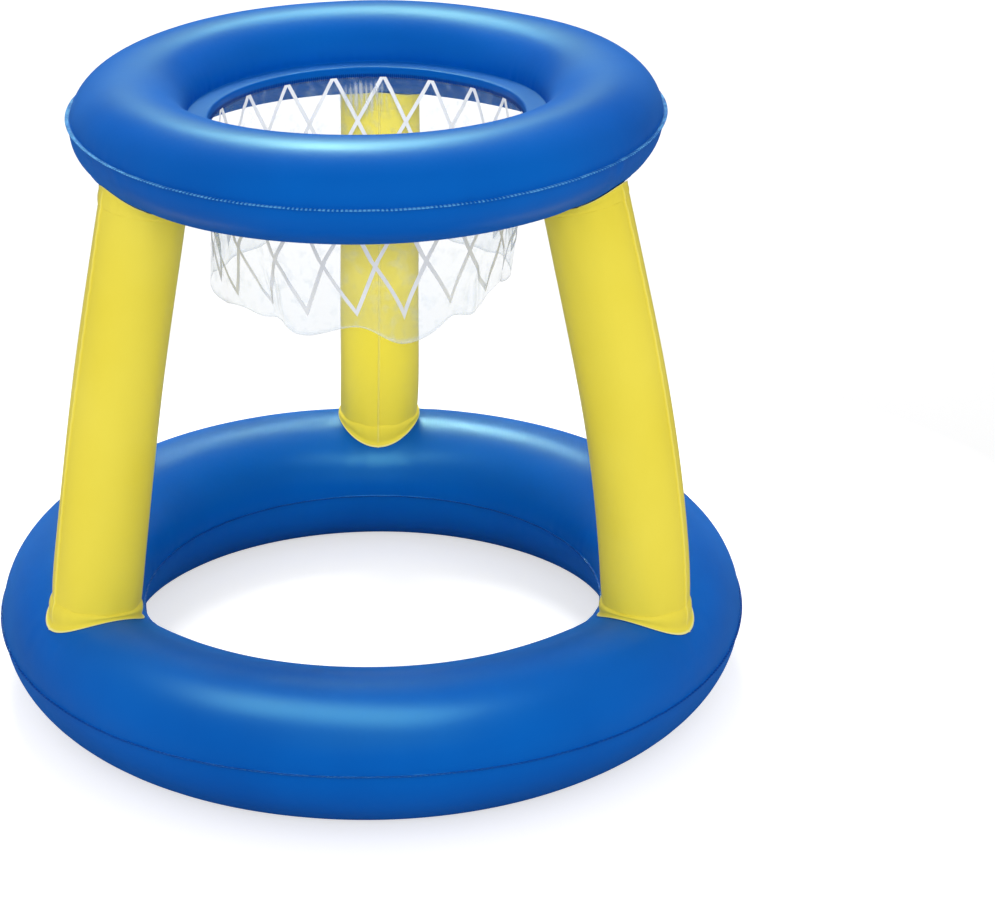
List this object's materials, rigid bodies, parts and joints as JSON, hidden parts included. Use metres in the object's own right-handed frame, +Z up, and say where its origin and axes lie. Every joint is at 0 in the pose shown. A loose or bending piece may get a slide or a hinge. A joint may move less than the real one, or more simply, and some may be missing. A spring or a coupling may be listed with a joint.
{
  "type": "floating basketball hoop",
  "caption": "Inflatable pool hoop: a round base ring, curved inflated legs and a smaller hoop ring with a clear film net that a ball drops through.",
  "frame": {"origin": "on the floor, below the middle of the base ring and the hoop", "axes": "+Z up along the hoop's axis, -Y towards the side without a leg (the front), +Y through the rear leg, +X to the right seen from the front"},
  "size_m": [0.616, 0.616, 0.511],
  "materials": {
    "blue_vinyl": "satin-gloss soft vinyl film",
    "yellow_vinyl": "satin soft vinyl film",
    "clear_film": "clear glossy vinyl film with printed white lines",
    "valve_plastic": "milky soft vinyl moulding"
  },
  "bodies": {
    "inflated_body": {"base_ring_upper_film": "blue_vinyl", "base_ring_lower_film": "blue_vinyl", "hoop_ring_upper_film": "blue_vinyl", "hoop_ring_lower_film": "blue_vinyl", "rear_leg_left_film": "yellow_vinyl", "rear_leg_right_film": "yellow_vinyl", "left_leg_left_film": "yellow_vinyl", "left_leg_right_film": "yellow_vinyl", "right_leg_left_film": "yellow_vinyl", "right_leg_right_film": "yellow_vinyl", "net_film": "clear_film", "base_valve_boot": "valve_plastic", "hoop_valve_boot": "valve_plastic"},
    "base_valve": {"base_valve_stem": "valve_plastic"},
    "base_plug": {"base_valve_plug": "valve_plastic"},
    "base_flap": {"base_valve_flap": "valve_plastic"},
    "hoop_valve": {"hoop_valve_stem": "valve_plastic"},
    "hoop_plug": {"hoop_valve_plug": "valve_plastic"},
    "hoop_flap": {"hoop_valve_flap": "valve_plastic"}
  },
  "joints": [
    {"name": "base_valve_pull", "type": "slide", "parent": "inflated_body", "child": "base_valve", "axis": [0.4568, 0.7912, 0.4067], "range_m": [0, 0.009]},
    {"name": "base_plug_swing", "type": "hinge", "parent": "base_valve", "child": "base_plug", "pos_m": [0.15918, 0.25771, 0.08155], "axis": [0.2034, 0.3522, -0.9135], "range_deg": [0, 110]},
    {"name": "base_flap_open", "type": "hinge", "parent": "base_valve", "child": "base_flap", "pos_m": [0.14494, 0.24224, 0.07242], "axis": [-0.2034, -0.3522, 0.9135], "range_deg": [0, 40]},
    {"name": "hoop_valve_pull", "type": "slide", "parent": "inflated_body", "child": "hoop_valve", "axis": [0.4035, 0.6989, 0.5905], "range_m": [0, 0.009]},
    {"name": "hoop_plug_swing", "type": "hinge", "parent": "hoop_valve", "child": "hoop_plug", "pos_m": [0.11987, 0.18963, 0.49491], "axis": [0.2953, 0.5114, -0.807], "range_deg": [0, 110]},
    {"name": "hoop_flap_open", "type": "hinge", "parent": "hoop_valve", "child": "hoop_flap", "pos_m": [0.10683, 0.17624, 0.48165], "axis": [-0.2953, -0.5114, 0.807], "range_deg": [0, 40]}
  ]
}
